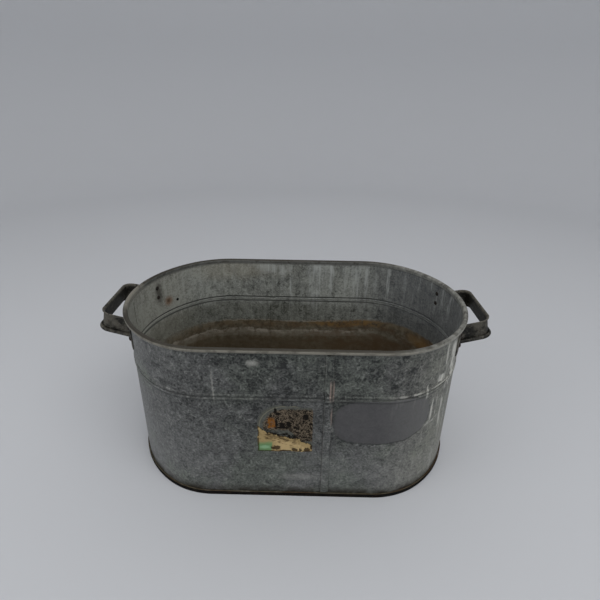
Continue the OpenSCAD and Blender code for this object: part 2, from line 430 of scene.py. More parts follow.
    def patch(self, g: ShaderGraph, spread: float, soft: float) -> Signal:
        """Marks the plain oblong on the front, by its distance in a squared-off ellipse.

        Args:
            g: The material's graph.
            spread: How far it is grown past its outline.
            soft: The share over which it fades.

        Returns:
            1 inside, 0 outside.
        """
        tilt = (g.x - 0.143) * 0.04
        across = g.math("ABSOLUTE", (g.x - 0.143) * (1.0 / (0.0775 + spread)))
        along = g.math("ABSOLUTE", (g.z - 0.1632 - tilt) * (1.0 / (0.0425 + spread)))
        reach = g.math("POWER", across, 3.0) + g.math("POWER", along, 3.0)
        reach = reach + (g.noise(60.0, 5.0) - 0.5) * 0.4
        return g.rise(reach, 1.0 + soft, 1.0 - soft)

    def wear_and_bead_highlight(self, g: ShaderGraph) -> Signal:
        """Marks the pale rubbed strokes on the right end, each with its own place and strength, and a painted
        highlight along the upper bead's crest there.
        """
        wander = g.x + (g.noise(34.0, 4.0) - 0.5) * 0.007
        up = g.z + (g.noise(45.0, 4.0) - 0.5) * 0.018
        rubbed = g.rise(g.noise(1.0, 5.0, (120.0, 120.0, 45.0)), 0.36, 0.52)
        total: Number = 0.0
        for place, half, middle, length, strength in self.worn:
            stroke = g.stripe(wander, place, half * 0.4, half) * strength
            total = g.math("MAXIMUM", stroke * g.stripe(up, middle, length * 0.7, length * 0.5), total)
        # Painted highlight: a pale line along the upper bead's crest towards the right end.
        bead_highlight = g.stripe(g.z, self.bead_middle + self.bead_half, 0.0008, 0.0016)
        bead_highlight = bead_highlight * g.rise(g.x, 0.14, 0.19) * 0.75
        faint = g.rise(g.noise(1.0, 5.0, (110.0, 110.0, 12.0)), 0.55, 0.74)
        faint = faint * g.rise(g.x, 0.12, 0.25) * 0.35
        worn = g.math("MAXIMUM", g.math("MAXIMUM", total, bead_highlight) * rubbed, faint)
        return worn * g.rise(g.y, -0.01, -0.06)

    def marks(self, g: ShaderGraph) -> Signal:
        """Marks the smear under the rim, the drip and the pale specks."""
        smear = g.spot((-0.0605, -0.176, 0.2705), (0.0085, 0.02, 0.0052), 0.75, 0.8, 110.0)
        drip = g.stripe(g.x + (g.noise(25.0, 2.0) - 0.5) * 0.008, -0.1215, 0.0004, 0.0018)
        drip = drip * g.stripe(g.z, 0.226, 0.022, 0.012) * g.rise(g.y, 0.0, -0.1)
        smudge = g.spot((0.008, -0.176, 0.044), (0.03, 0.02, 0.005), 0.8, 1.3, 60.0)
        specks = g.rise(g.noise(210.0, 2.0), 0.7, 0.77) * 0.35
        faint = g.math("MAXIMUM", smudge * 0.18, drip * 0.24)
        return g.math("MAXIMUM", g.math("MAXIMUM", smear * 0.42, faint), specks)

    def seam_marks(self, g: ShaderGraph, base: Signal) -> Signal:
        """Lays the rubbed marks over the front seam, and the light on its turned edge.

        Args:
            g: The material's graph.
            base: The colour of the sheet.

        Returns:
            The colour with the marks.
        """
        front = g.rise(g.y, -0.16, -0.17)
        threads = g.rise(g.noise(1.0, 5.0, (260.0, 260.0, 60.0)), 0.38, 0.6)
        upper = g.stripe(g.z, 0.222, 0.012, 0.012) * front
        lower = g.stripe(g.z, 0.175, 0.01, 0.012) * front
        brown = g.stripe(g.x, 0.0603, 0.0012, 0.0014) * upper
        base = g.mix(brown * 0.5, base, self.seam_brown)
        rubbed = (g.stripe(g.x, 0.0577, 0.0006, 0.0012) + g.stripe(g.x, 0.0626, 0.0006, 0.0012)) * upper
        rubbed = rubbed + g.stripe(g.x, 0.0612, 0.0008, 0.0014) * lower
        base = g.mix(rubbed * (threads * 0.5 + 0.2), base, self.seam_rub)
        edge = g.stripe(g.x, self.seam_left, 0.0006, 0.0006) * g.rise(g.y, -0.1765, -0.177)
        return g.mix(edge * 0.14, base, self.zinc_bright)

    def inner_side(self, g: ShaderGraph, mottling: Mottling) -> Signal:
        """Makes the inside's colour, with the tide line and what settled under it.

        Args:
            g: The material's graph.
            mottling: The zinc's mottling.

        Returns:
            The colour.
        """
        clouds = g.noise(13.0, 5.0) - 0.5
        right_end = g.rise(g.x, 0.1, 0.25)
        under_beads = g.rise(g.z, 0.208, 0.185) * (1.0 - g.rise(g.x, 0.0, 0.12) * 0.55)
        threads = g.noise(1.0, 5.0, (170.0, 170.0, 9.0)) - 0.5
        # Painted shade darkens the inside of the right end, and painted light lightens the inside of the left end.
        level = 0.62 + clouds * 0.9 + threads * 0.7 - right_end * 0.26 - under_beads * 0.26
        level = level + mottling.level(1.1, 1.5, 1.0) + g.rise(g.x, -0.08, -0.24) * 0.12
        base = g.mix(level, self.inner_dark, self.inner_pale)
        # Painted shade: cooler grey on the inside of the right end.
        base = g.mix(right_end * 0.5, base, self.inner_cool)
        base = g.mix(under_beads * 0.35, base, self.inner_olive)
        warm = g.spot((-0.135, 0.17, 0.278), (0.1, 0.06, 0.022), 0.6, 0.5, 25.0)
        warm = g.math("MAXIMUM", warm, g.rise(g.x, -0.2, -0.27) * 0.6)
        base = g.mix(warm * 0.35, base, self.inner_warm)
        pale = g.spot((-0.056, 0.176, 0.283), (0.034, 0.03, 0.012), 0.8, 1.5, 55.0)
        base = g.mix(pale * (threads * 2.0 + 0.5), base, self.wash)
        base = g.mix(self.running(g), base, self.wash)
        scratched = g.rise(g.noise(1.0, 5.0, (150.0, 150.0, 16.0)), 0.52, 0.68) * g.rise(g.x, 0.2, 0.27)
        base = g.mix(scratched * g.rise(g.z, 0.2, 0.27) * 0.55, base, self.wash)
        base = self.settled(g, base)
        # Painted shade in two dark lines in the grooves that the beads make inside, and painted light in a pale
        # line on a groove's lower slope.
        lines = g.stripe(g.z, self.bead_middle - 0.0056, 0.001, 0.0016)
        lines = lines + g.stripe(g.z, self.bead_middle + self.bead_half, 0.0009, 0.0016)
        base = g.mix(g.stripe(g.z, self.bead_middle - 0.0014, 0.001, 0.0014) * 0.3, base, self.inner_pale)
        base = g.mix(lines * (0.85 - g.rise(g.x, 0.13, 0.23) * 0.4), base, self.inner_dark)
        shadow = g.stripe(g.z, self.rim_height - 0.0006, 0.0005, 0.0012)
        base = g.mix(shadow * 0.4, base, self.inner_dark)
        # Painted shade along a crease in the inside of the left end.
        crease = g.stripe(g.y, -0.009, 0.0004, 0.0016) * g.stripe(g.z, 0.259, 0.02, 0.006)
        base = g.mix(crease * g.rise(g.x, -0.2, -0.25) * 0.75, base, self.inner_dark)
        return self.rust_spots(g, base)

    def running(self, g: ShaderGraph) -> Signal:
        """Marks the whitish runs down the back wall from the rim, each with its own place and strength."""
        wander = g.x + (g.noise(1.0, 4.0, (30.0, 30.0, 34.0)) - 0.5) * 0.014
        total: Number = 0.0
        for place, half, strength in self.runs:
            total = g.stripe(wander, place, half * 0.15, half * 1.1) * strength + total
        threads = g.rise(g.noise(1.0, 6.0, (240.0, 240.0, 22.0)), 0.38, 0.62) * 0.8 + 0.2
        length = (g.noise(1.0, 3.0, (70.0, 70.0, 2.0)) - 0.5) * 0.16
        down = g.rise(g.z + length, 0.17, 0.27) * g.rise(g.z, 0.294, 0.28)
        faint = g.rise(g.noise(1.0, 5.0, (60.0, 60.0, 8.0)), 0.48, 0.68) * 0.4
        faint = faint * g.rise(g.z + length, 0.19, 0.27)
        back = g.rise(g.y, 0.11, 0.15)
        return g.math("MINIMUM", (total * down + faint) * threads * back, 0.8)

    def settled(self, g: ShaderGraph, base: Signal) -> Signal:
        """Lays the silt, the ochre band and the broken scum line over the wall below the tide line.

        Args:
            g: The material's graph.
            base: The colour of the wall.

        Returns:
            The colour with what settled on it.
        """
        wave = (g.noise(10.0, 3.0) - 0.5) * 0.009
        depth = g.z + wave - g.rise(g.x, 0.1, 0.27) * 0.012
        grit = g.noise(85.0, 6.0, roughness=0.7)
        stains = g.noise(1.0, 5.0, (24.0, 24.0, 60.0), 0.65)
        edge = (g.noise(60.0, 4.0) - 0.5) * 0.01
        faded = g.rise(g.x, -0.17, -0.24)
        wet = g.rise(depth + edge, self.tide_height + 0.0025, self.tide_height - 0.0025) * (1.0 - faded)
        wet = wet + g.rise(depth + edge, self.tide_height + 0.01, self.tide_height - 0.018) * faded
        soil = g.mix(g.rise(grit, 0.36, 0.64), self.mud, self.silt)
        reddish = 0.8 - g.rise(g.x, 0.03, -0.1) * 0.4
        soil = g.mix(g.rise(stains, 0.44, 0.6) * reddish, soil, self.mud_red)
        base = g.mix(wet * 0.88, base, soil)
        band = g.stripe(depth, self.tide_height - 0.006, 0.003, 0.009) * g.rise(grit, 0.38, 0.58)
        strong = g.rise(g.x, 0.0, 0.08) * g.rise(g.x, 0.21, 0.17) * 0.65 + 0.15
        base = g.mix(band * strong, base, self.ochre)
        crust = g.stripe(depth + edge, self.tide_height, 0.0006, 0.0016) * g.rise(grit, 0.4, 0.55)
        crust = crust * g.rise(g.x, -0.22, -0.16) * g.rise(g.x, 0.12, 0.05)
        base = g.mix(crust * 0.5, base, self.scum)
        line = depth + (g.noise(1.0, 5.0, (14.0, 14.0, 50.0)) - 0.5) * 0.034
        scum = g.rise(line, self.scum_height + 0.0012, self.scum_height)
        scum = scum * g.rise(line, self.scum_height - 0.01, self.scum_height - 0.001)
        broken = g.rise(grit, 0.36, 0.54) * g.rise(g.noise(30.0, 3.0), 0.34, 0.5)
        film = g.stripe(line, self.scum_height - 0.009, 0.006, 0.006)
        scum = (scum * broken * 0.66 + film * 0.16) * g.rise(g.x, 0.2, 0.12)
        base = g.mix(scum, base, self.scum)
        deep = g.rise(depth, 0.118, 0.1)
        base = g.mix(deep * 0.6, base, g.mix(g.rise(g.x, 0.0, 0.16) * 0.7, self.mud, self.mud_red))
        hot = g.spot((0.26, 0.09, 0.143), (0.035, 0.04, 0.012), 0.6, 0.5, 50.0)
        return g.mix(hot * 0.6, base, self.ochre)

    def rust_spots(self, g: ShaderGraph, base: Signal) -> Signal:
        """Lays the rust inside by the rivets and on the left end.

        Args:
            g: The material's graph.
            base: The colour of the wall.

        Returns:
            The colour with the rust.
        """
        spot = g.spot((-0.262, 0.098, 0.234), (0.009, 0.009, 0.009), 0.7, 0.35, 140.0)
        core = g.spot((-0.2625, 0.0975, 0.235), (0.004, 0.004, 0.0035), 0.6, 0.5, 200.0)
        rivets = g.spot((-0.273, 0.078, 0.26), (0.01, 0.008, 0.022), 0.6, 0.7, 130.0)
        flecks = g.rise(g.noise(150.0, 3.0), 0.7, 0.78) * g.rise(g.z, 0.24, 0.28) * g.rise(g.x, -0.1, -0.2)
        base = g.mix(g.math("MAXIMUM", spot * 0.7, flecks * 0.5), base, self.rust)
        return g.mix(g.math("MAXIMUM", core * 0.6, rivets * 0.7), base, self.rust_dark)

    def rim(self, g: ShaderGraph, facing: Signal) -> Signal:
        """Makes the rolled rim's colour.

        Args:
            g: The material's graph.
            facing: How far the surface faces away from the tub's middle.

        Returns:
            The colour: pale below the brow outside, a painted highlight broken up by rubbed wear; a paler grey
                painted on the inner face as light; and dark on top.
        """
        brow = g.rise(g.node("ShaderNodeSeparateXYZ", {0: g.normal}, 2), 0.68, 0.36)
        outer_half = g.rise(facing, 0.0, 0.05) * brow * 0.9 + 0.04
        rubbed = g.rise(g.noise(70.0, 5.0), 0.36, 0.56) * 0.4 + 0.6
        front = g.rise(g.y, 0.05, -0.12) * (g.rise(g.x, -0.28, -0.1) * 0.1 + 0.5)
        # Painted highlight on the outer face below the brow, stronger towards the front, broken up by rubbed wear.
        base = g.mix(front * outer_half * rubbed, self.rim_dark, self.rim_pale)
        # Painted light: paler grey on the inner face below the brow.
        base = g.mix(g.rise(facing, 0.0, -0.05) * brow * rubbed * 0.9, base, self.rim_inner)
        left = g.spot((-0.292, -0.012, 0.296), (0.022, 0.05, 0.022), 0.5, 0.8, 60.0)
        base = g.mix(left * 0.45, base, self.rim_pale)
        # Painted reflection: paler mottles along the rim towards the right end.
        mottled = g.rise(g.noise(110.0, 4.0), 0.3, 0.66) * 0.45 + 0.12
        base = g.mix(g.rise(g.x, 0.13, 0.25) * mottled, base, self.zinc_bright)
        specks = g.rise(g.noise(130.0, 4.0), 0.56, 0.68) * 0.5
        return g.mix(specks * (1.0 - outer_half * 0.5), base, self.rust_dark)


@dataclass(frozen=True)
class PanFinish:
    """The bottom pan: its floor under dried silt, and its edge near-black, with rust mottles, where it stands."""

    floor: Colour = tint(84, 78, 64)
    rust: Colour = tint(70, 50, 32)
    edge: Colour = tint(11, 9, 7)
    edge_worn: Colour = tint(24, 20, 15)
    edge_rust: Colour = tint(38, 26, 17)
    scale: Colour = tint(146, 142, 130)

    def build(self, name: str) -> bpy.types.Material:
        """Makes the material under that name."""
        g = ShaderGraph(name)
        clouds = g.noise(10.0, 6.0, roughness=0.62)
        blotches = g.noise(48.0, 5.0)
        grit = g.noise(150.0, 5.0, roughness=0.7)
        floor = g.mix(g.rise(clouds, 0.4, 0.62) * 0.8, self.floor, self.rust)
        floor = g.mix(g.rise(grit, 0.55, 0.35) * 0.4, floor, self.edge_rust)
        floor = g.mix(g.rise(blotches + (grit - 0.5) * 0.5, 0.54, 0.78) * 0.5, floor, self.scale)
        edge = g.mix(g.rise(blotches, 0.5, 0.66), self.edge, self.edge_worn)
        edge = g.mix(g.rise(g.noise(90.0, 4.0), 0.55, 0.68) * 0.7, edge, self.edge_rust)
        up = g.node("ShaderNodeSeparateXYZ", {0: g.normal}, 2)
        on_floor = g.rise(up, 0.5, 0.9) * g.rise(g.z, 0.007, 0.0078) * self.within(g)
        colour = g.mix(on_floor, edge, floor)
        relief = g.noise(130.0, 4.0) * 0.4 + blotches * 0.6
        return g.finish(colour, 0.8 + (blotches - 0.5) * 0.3, 0.0, relief, 0.0004, gloss=0.12)

    def within(self, g: ShaderGraph) -> Signal:
        """Is 1 on the floor inside the wall, and 0 on the seam round it."""
        flat = g.vector("MULTIPLY", g.place, (1.0 / 0.292, 1.0 / 0.1755, 0.0))
        return g.rise(g.vector("LENGTH", flat, (0.0, 0.0, 0.0), 1), 1.25, 1.2)


@dataclass(frozen=True)
class StripFinish:
    """A handle of darkened galvanized strip, rubbed paler on its high places, with painted highlights on its
    curled edges and painted shade on all but its front arm.
    """

    base: Colour = tint(58, 56, 49)
    dark: Colour = tint(24, 23, 19)
    worn: Colour = tint(112, 108, 98)
    rust: Colour = tint(66, 50, 36)
    root_x: float = 0.2925
    root_height: float = 0.264
    tilt: float = math.radians(12.0)

    def build(self, name: str) -> bpy.types.Material:
        """Makes the material under that name."""
        g = ShaderGraph(name)
        clouds = g.noise(38.0, 5.0, roughness=0.6)
        mottled = g.noise(170.0, 4.0, roughness=0.6, swirl=1.0)
        colour = g.mix(g.rise(clouds, 0.56, 0.42), self.base, self.dark)
        front_arm = g.rise(g.y, -0.045, -0.065)
        # Painted shade: all but the front arm is darker.
        colour = g.mix((1.0 - front_arm) * 0.5, colour, self.dark)
        colour = g.mix(front_arm * g.rise(clouds, 0.36, 0.56) * 0.5, colour, self.worn)
        colour = g.mix(g.rise(mottled, 0.52, 0.68) * 0.4, colour, self.worn)
        colour = g.mix(g.rise(mottled, 0.46, 0.34) * 0.6, colour, self.dark)
        # Pale curled edges: rubbed wear with a painted highlight.
        colour = g.mix(self.edges(g) * g.rise(mottled, 0.3, 0.5) * 0.45, colour, self.worn)
        colour = g.mix(g.rise(g.noise(120.0, 4.0), 0.6, 0.72) * 0.4, colour, self.rust)
        relief = clouds * 0.5 + mottled * 0.25
        return g.finish(colour, 0.6 + (clouds - 0.5) * 0.3, 0.15, relief, 0.0004, gloss=0.3)

    def edges(self, g: ShaderGraph) -> Signal:
        """Marks both curled edges, by the distance from the tilted strip's middle line."""
        out = g.math("ABSOLUTE", g.x) - self.root_x
        across = (g.z - self.root_height) * math.cos(self.tilt) - out * math.sin(self.tilt)
        return g.rise(g.math("ABSOLUTE", across), 0.0145, 0.0168)


@dataclass(frozen=True)
class RivetFinish:
    """Steel rivets and wire, dull and lightly rusted."""

    steel: Colour = tint(42, 39, 35)
    rust: Colour = tint(44, 34, 26)

    def build(self, name: str) -> bpy.types.Material:
        """Makes the material under that name."""
        g = ShaderGraph(name)
        patches = g.noise(160.0, 4.0)
        colour = g.mix(g.rise(patches, 0.42, 0.6), self.steel, self.rust)
        return g.finish(colour, 0.45 + patches * 0.3, 0.35, patches, 0.0003)


@dataclass(frozen=True)
class LabelFinish:
    """The torn remnant of a plain paper label: dark glue above, a strip of bare paper below."""

    glue: Colour = tint(112, 100, 84)
    glue_dark: Colour = tint(20, 16, 11)
    bare_dark: Colour = tint(58, 59, 54)
    bare: Colour = tint(102, 104, 97)
    line: Colour = tint(128, 124, 108)
    paper_tan: Colour = tint(168, 146, 102)
    paper: Colour = tint(192, 168, 122)
    green: Colour = tint(92, 142, 96)
    mint: Colour = tint(152, 190, 152)
    rust: Colour = tint(132, 84, 32)
    brown: Colour = tint(52, 36, 20)
    left: float = -0.057
    low: float = 0.099
    face: float = -0.1765
    arc_middle: tuple[float, float] = (0.048, 0.052)
    arc_radii: tuple[float, float] = (0.045, 0.0425)
    dark_blots: tuple[tuple[float, float, float, float], ...] = (
        (0.0318, 0.0595, 0.0018, 0.01),
        (0.0435, 0.0505, 0.0135, 0.0021),
        (0.0412, 0.0555, 0.0046, 0.005),
        (0.052, 0.057, 0.0042, 0.0054),
        (0.0305, 0.0835, 0.0022, 0.0056),
        (0.0355, 0.0785, 0.0045, 0.0024),
        (0.062, 0.051, 0.0035, 0.003),
        (0.079, 0.073, 0.005, 0.006),
    )
    brown_blots: tuple[tuple[float, float, float, float], ...] = (
        (0.031, 0.0085, 0.0075, 0.005),
        (0.061, 0.0046, 0.005, 0.0044),
        (0.0705, 0.004, 0.0026, 0.0034),
        (0.081, 0.0052, 0.0054, 0.0046),
        (0.046, 0.0026, 0.011, 0.0014),
        (0.0885, 0.0105, 0.0022, 0.004),
    )

    def build(self, name: str) -> bpy.types.Material:
        """Makes the material under that name."""
        g = ShaderGraph(name)
        u, v = g.x - self.left, g.z - self.low
        clouds = g.noise(75.0, 5.0) - 0.5
        crumbs = g.noise(260.0, 4.0, roughness=0.65) - 0.5
        torn = clouds * 0.014 + crumbs * 0.014
        colour = self.upper(g, u, v, torn, crumbs)
        edge = self.strip_edge(g, u)
        # Dark shreds and a painted shadow along the strip's torn edge.
        colour = g.mix(self.strip_shadow(g, u, v + torn - edge), colour, self.glue_dark)
        strip = g.rise(v + torn - edge, 0.0006, -0.0006)
        colour = g.mix(strip, colour, self.strip(g, u, v, v + torn - edge))
        sides = g.stripe(u, 0.0455, 0.0435, 0.0012)
        rows = g.stripe(v, 0.048, 0.047, 0.0008)
        ragged = g.rise(crumbs + sides * rows, 0.4, 0.48)
        relief = crumbs * 0.6 + clouds * 0.5
        return g.finish(colour, 0.8, 0.0, relief, 0.0006, ragged, gloss=0.15)

    def upper(self, g: ShaderGraph, u: Signal, v: Signal, torn: Signal, crumbs: Signal) -> Signal:
        """Makes the upper part: speckled glue within an arc, and the sheet bare round it.

        Args:
            g: The material's graph.
            u: The distance from the label's left edge.
            v: The height above its lower edge.
            torn: The raggedness of its edges.
            crumbs: The finest noise.

        Returns:
            The colour.
        """
        bare = g.mix(crumbs * 1.6 + 0.6, self.bare_dark, self.bare)
        across = g.math("MINIMUM", u - self.arc_middle[0], 0.0) * (1.0 / self.arc_radii[0])
        along = (v - self.arc_middle[1]) * (1.0 / self.arc_radii[1])
        reach = g.math("SQRT", across * across + along * along)
        lower = 0.045 - g.rise(u, 0.05, 0.072) * 0.022
        glued = g.rise(reach + torn * 10.0, 0.88, 0.78) * g.rise(v + torn - lower, -0.002, 0.002)
        specks = g.noise(250.0, 4.0, roughness=0.7, swirl=1.2)
        glue = g.mix(g.rise(specks, 0.43, 0.58), self.glue_dark, self.glue)
        colour = g.mix(glued, bare, glue)
        arc = g.stripe(reach, 0.965, 0.01, 0.02) * g.rise(v, 0.045, 0.055)
        colour = g.mix(arc * 0.6, colour, self.line)
        block = g.stripe(u + torn * 0.7, 0.025, 0.0048, 0.0022)
        block = block * g.stripe(v + torn * 0.8, 0.06, 0.008, 0.0028)
        colour = g.mix(block * (crumbs * 3.4 + 0.7), colour, self.rust)
        return g.mix(self.blots(g, self.dark_blots), colour, self.glue_dark)

    def strip_edge(self, g: ShaderGraph, u: Signal) -> Signal:
        """Gives the height of the strip's torn upper edge: steep at the left, then flat, then falling."""
        steep = 0.057 - u * 1.2
        flat = 0.041 - u * 0.2
        falling = 0.0644 - u * 0.57
        return g.math("MINIMUM", g.math("MAXIMUM", steep, flat), falling)

    def strip_shadow(self, g: ShaderGraph, u: Signal, above: Signal) -> Signal:
        """Marks the dark shreds along the strip's torn upper edge, and a painted shadow in a thin line just above
        that edge.
        """
        shreds = g.rise(g.noise(1.0, 4.0, (90.0, 90.0, 200.0)), 0.38, 0.52)
        wide = g.stripe(u, 0.04, 0.02, 0.012)
        near = g.rise(above, 0.009, 0.0045) * wide * shreds
        return g.math("MAXIMUM", near, g.rise(above, 0.0022, 0.0012) * 0.9)

    def strip(self, g: ShaderGraph, u: Signal, v: Signal, above: Signal) -> Signal:
        """Makes the strip of paper: tan by its tear, cream in the middle, green in its corner, with a painted
        highlight across the green.

        Args:
            g: The material's graph.
            u: The distance from the label's left edge.
            v: The height above its lower edge.
            above: The height above its torn edge.

        Returns:
            The colour.
        """
        soiled = g.noise(110.0, 4.0)
        cream = g.rise(above, -0.004, -0.012) * g.rise(u, 0.022, 0.036)
        cream = cream * (g.rise(soiled, 0.66, 0.5) * 0.7 + 0.3)
        tan = g.mix(g.rise(soiled, 0.5, 0.7) * 0.5, self.paper_tan, self.brown)
        colour = g.mix(cream, tan, self.paper)
        shreds = g.rise(g.noise(1.0, 5.0, (80.0, 80.0, 300.0)), 0.46, 0.58)
        shreds = shreds * g.stripe(above, -0.005, 0.005, 0.004) * g.stripe(u, 0.038, 0.02, 0.01)
        colour = g.mix(shreds * 0.75, colour, self.brown)
        ragged = (soiled - 0.5) * 0.014
        green = g.rise(u + ragged, 0.0265, 0.0225) * g.rise(v + ragged, 0.024, 0.014)
        colour = g.mix(green * 0.85, colour, self.green)
        # Painted highlight: a pale mint streak across the green.
        middle = (self.left + 0.0135, self.face, self.low + 0.0095)
        mint = g.spot(middle, (0.0085, 0.02, 0.0032), 0.6, 0.6, 170.0)
        colour = g.mix(mint * 0.6, colour, self.mint)
        colour = g.mix(self.blots(g, self.brown_blots) * 0.9, colour, self.brown)
        outline = g.math("MAXIMUM", g.rise(v, 0.0036, 0.0022), g.rise(u, 0.0046, 0.0034))
        return g.mix(outline * g.rise(soiled, 0.36, 0.5) * 0.8, colour, self.brown)

    def blots(
        self,
        g: ShaderGraph,
        places: tuple[tuple[float, float, float, float], ...],
    ) -> Signal:
        """Marks a set of ragged blots.

        Args:
            g: The material's graph.
            places: Each blot's middle and half sizes, along and up.

        Returns:
            1 in a blot, 0 elsewhere.
        """
        total: Number = 0.0
        for along, up, half_along, half_up in places:
            middle = (self.left + along, self.face, self.low + up)
            spot = g.spot(middle, (half_along, 0.05, half_up), 0.25, 0.9, 260.0)
            total = g.math("MAXIMUM", spot, total)
        return g.math("MINIMUM", total, 1.0)


class RivetTree:
    """A Geometry Nodes tree that sets one hammered rivet on each point."""

    def __init__(self, name: str) -> None:
        """Builds the tree under that name."""
        self.tree = bpy.data.node_groups.new(name, "GeometryNodeTree")
        face = self.tree.interface
        face.new_socket(name="Geometry", in_out="OUTPUT", socket_type="NodeSocketGeometry")
        face.new_socket(name="Points", in_out="INPUT", socket_type="NodeSocketGeometry")
        self.sockets = {
            title: face.new_socket(name=title, in_out="INPUT", socket_type=kind)
            for title, kind in {
                "Head Radius": "NodeSocketFloat",
                "Head Rise": "NodeSocketFloat",
                "Tail Rise": "NodeSocketFloat",
                "Grip": "NodeSocketFloat",
                "Hammering": "NodeSocketFloat",
                "Seed": "NodeSocketFloat",
                "Finish": "NodeSocketMaterial",
            }.items()
        }
        self.entry = self.add("NodeGroupInput")
        self.wire()

    def add(self, kind: str, inputs: Optional[Mapping[Union[int, str], object]] = None, **settings: object):
        """Adds a node.

        Args:
            kind: The node's type.
            inputs: Values or output sockets for its sockets, by name or number.
            settings: The node's own settings, set before its sockets.

        Returns:
            The node.
        """
        made = self.tree.nodes.new(kind)
        for name, value in settings.items():
            setattr(made, name, value)
        for key, value in (inputs or {}).items():
            if isinstance(value, bpy.types.NodeSocket):
                self.tree.links.new(value, made.inputs[key])
            else:
                made.inputs[key].default_value = value
        return made

    def dome(self, rise: bpy.types.NodeSocket, depth: Optional[bpy.types.NodeSocket]) -> bpy.types.NodeSocket:
        """Makes one flattened ball.

        Args:
            rise: Half its height.
            depth: How far it lies below the point, or None at the point.

        Returns:
            The geometry socket.
        """
        given = self.entry.outputs
        ball = self.add("GeometryNodeMeshUVSphere", {"Segments": 28, "Rings": 14, "Radius": 1.0})
        size = self.add("ShaderNodeCombineXYZ", {0: given["Head Radius"], 1: given["Head Radius"], 2: rise})
        settings = {"Geometry": ball.outputs["Mesh"], "Scale": size.outputs[0]}
        if depth is not None:
            down = self.add("ShaderNodeMath", {0: depth, 1: -1.0}, operation="MULTIPLY")
            settings["Translation"] = self.add("ShaderNodeCombineXYZ", {2: down.outputs[0]}).outputs[0]
        return self.add("GeometryNodeTransform", settings).outputs[0]

    def wire(self) -> None:
        """Joins head and tail, sets them on the points, hammers them and gives them their finish."""
        given = self.entry.outputs
        both = self.add("GeometryNodeJoinGeometry")
        self.tree.links.new(self.dome(given["Tail Rise"], given["Grip"]), both.inputs[0])
        self.tree.links.new(self.dome(given["Head Rise"], None), both.inputs[0])
        outward = self.add("GeometryNodeInputNamedAttribute", {"Name": "outward"}, data_type="FLOAT_VECTOR")
        turned = self.add("FunctionNodeAlignRotationToVector", {"Vector": outward.outputs[0]}, axis="Z")
        spread = {"Points": given["Points"], "Instance": both.outputs[0], "Rotation": turned.outputs[0]}
        placed = self.add("GeometryNodeInstanceOnPoints", spread)
        real = self.add("GeometryNodeRealizeInstances", {"Geometry": placed.outputs[0]})
        where = self.add("GeometryNodeInputPosition")
        knocks = {"Vector": where.outputs[0], "W": given["Seed"], "Scale": 260.0, "Detail": 1.0}
        noise = self.add("ShaderNodeTexNoise", knocks, noise_dimensions="4D")
        centred = self.add(
            "ShaderNodeVectorMath", {0: noise.outputs["Color"], 1: (0.5, 0.5, 0.5)}, operation="SUBTRACT"
        )
        amount = {0: centred.outputs[0], "Scale": given["Hammering"]}
        push = self.add("ShaderNodeVectorMath", amount, operation="SCALE")
        hammered = self.add("GeometryNodeSetPosition", {"Geometry": real.outputs[0], "Offset": push.outputs[0]})
        smooth = self.add("GeometryNodeSetShadeSmooth", {"Geometry": hammered.outputs[0]})
        dressed = self.add("GeometryNodeSetMaterial", {"Geometry": smooth.outputs[0], "Material": given["Finish"]})
        self.add("NodeGroupOutput", {0: dressed.outputs[0]})


@dataclass
class RivetSet:
    """Rivets through a round end: their sizes, and where each one stands."""

    name: str
    side: Side
    seed: float
    turns: tuple[float, ...]
    heights: tuple[float, ...]
    head_radius: float = 0.0042
    head_rise: float = 0.0028
    tail_rise: float = 0.0014
    plate: float = 0.0016
    sheet: float = 0.0008
    hammering: float = 0.0006
    end_x: float = 0.10625
    end_radius: float = 0.18625

    def places(self) -> list[tuple[Vector, Vector]]:
        """Lists each rivet's point on the outer face that its head sits on, and its way out of the wall."""
        found = []
        for turn in self.turns:
            outward = Vector((math.cos(turn) * self.side.value, math.sin(turn), 0.0))
            for height in self.heights:
                middle = Vector((self.end_x * self.side.value, 0.0, height))
                found.append((middle + outward * (self.end_radius + self.plate), outward))
        return found

    def build(self, tree: RivetTree, finish: bpy.types.Material) -> bpy.types.Object:
        """Makes the rivets as one plain mesh.

        Args:
            tree: The tree that sets rivets on points.
            finish: The rivets' material.

        Returns:
            The new piece.
        """
        places = self.places()
        points = bpy.data.meshes.new(self.name)
        points.from_pydata([tuple(point) for point, _ in places], [], [])
        outward = points.attributes.new("outward", "FLOAT_VECTOR", "POINT")
        for index, (_, way) in enumerate(places):
            outward.data[index].vector = way
        piece = bpy.data.objects.new(self.name, points)
        bpy.context.scene.collection.objects.link(piece)
        modifier = piece.modifiers.new("set rivets", "NODES")
        modifier.node_group = tree.tree
        values = {
            "Head Radius": self.head_radius,
            "Head Rise": self.head_rise,
            "Tail Rise": self.tail_rise,
            "Grip": self.plate + self.sheet,
            "Hammering": self.hammering,
            "Seed": self.seed,
            "Finish": finish,
        }
        for title, value in values.items():
            modifier[tree.sockets[title].identifier] = value
        bpy.context.view_layer.update()
        graph = bpy.context.evaluated_depsgraph_get()
        plain = bpy.data.meshes.new_from_object(piece.evaluated_get(graph))
        piece.modifiers.remove(modifier)
        piece.data = plain
        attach(piece, "root")
        LOG.info("%s: %d faces", piece.name, len(plain.polygons))
        return piece


@dataclass
class HandleRivets:
    """The four rivets of one handle, two in each foot."""

    side: Side
    seed: float
    rivet_half: float = 0.079
    shift: float = 0.003
    end_radius: float = 0.18625
    heights: tuple[float, float] = (0.272, 0.252)

    def build(self, tree: RivetTree, finish: bpy.types.Material) -> None:
        """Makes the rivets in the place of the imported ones."""
        turns = tuple(math.asin((way * self.rivet_half - self.shift) / self.end_radius) for way in (-1, 1))
        side = self.side.name.lower()
        piece = RivetSet(f"rivets_{side}", self.side, self.seed, turns, self.heights).build(tree, finish)
        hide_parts(f"handle_rivets_{side}")


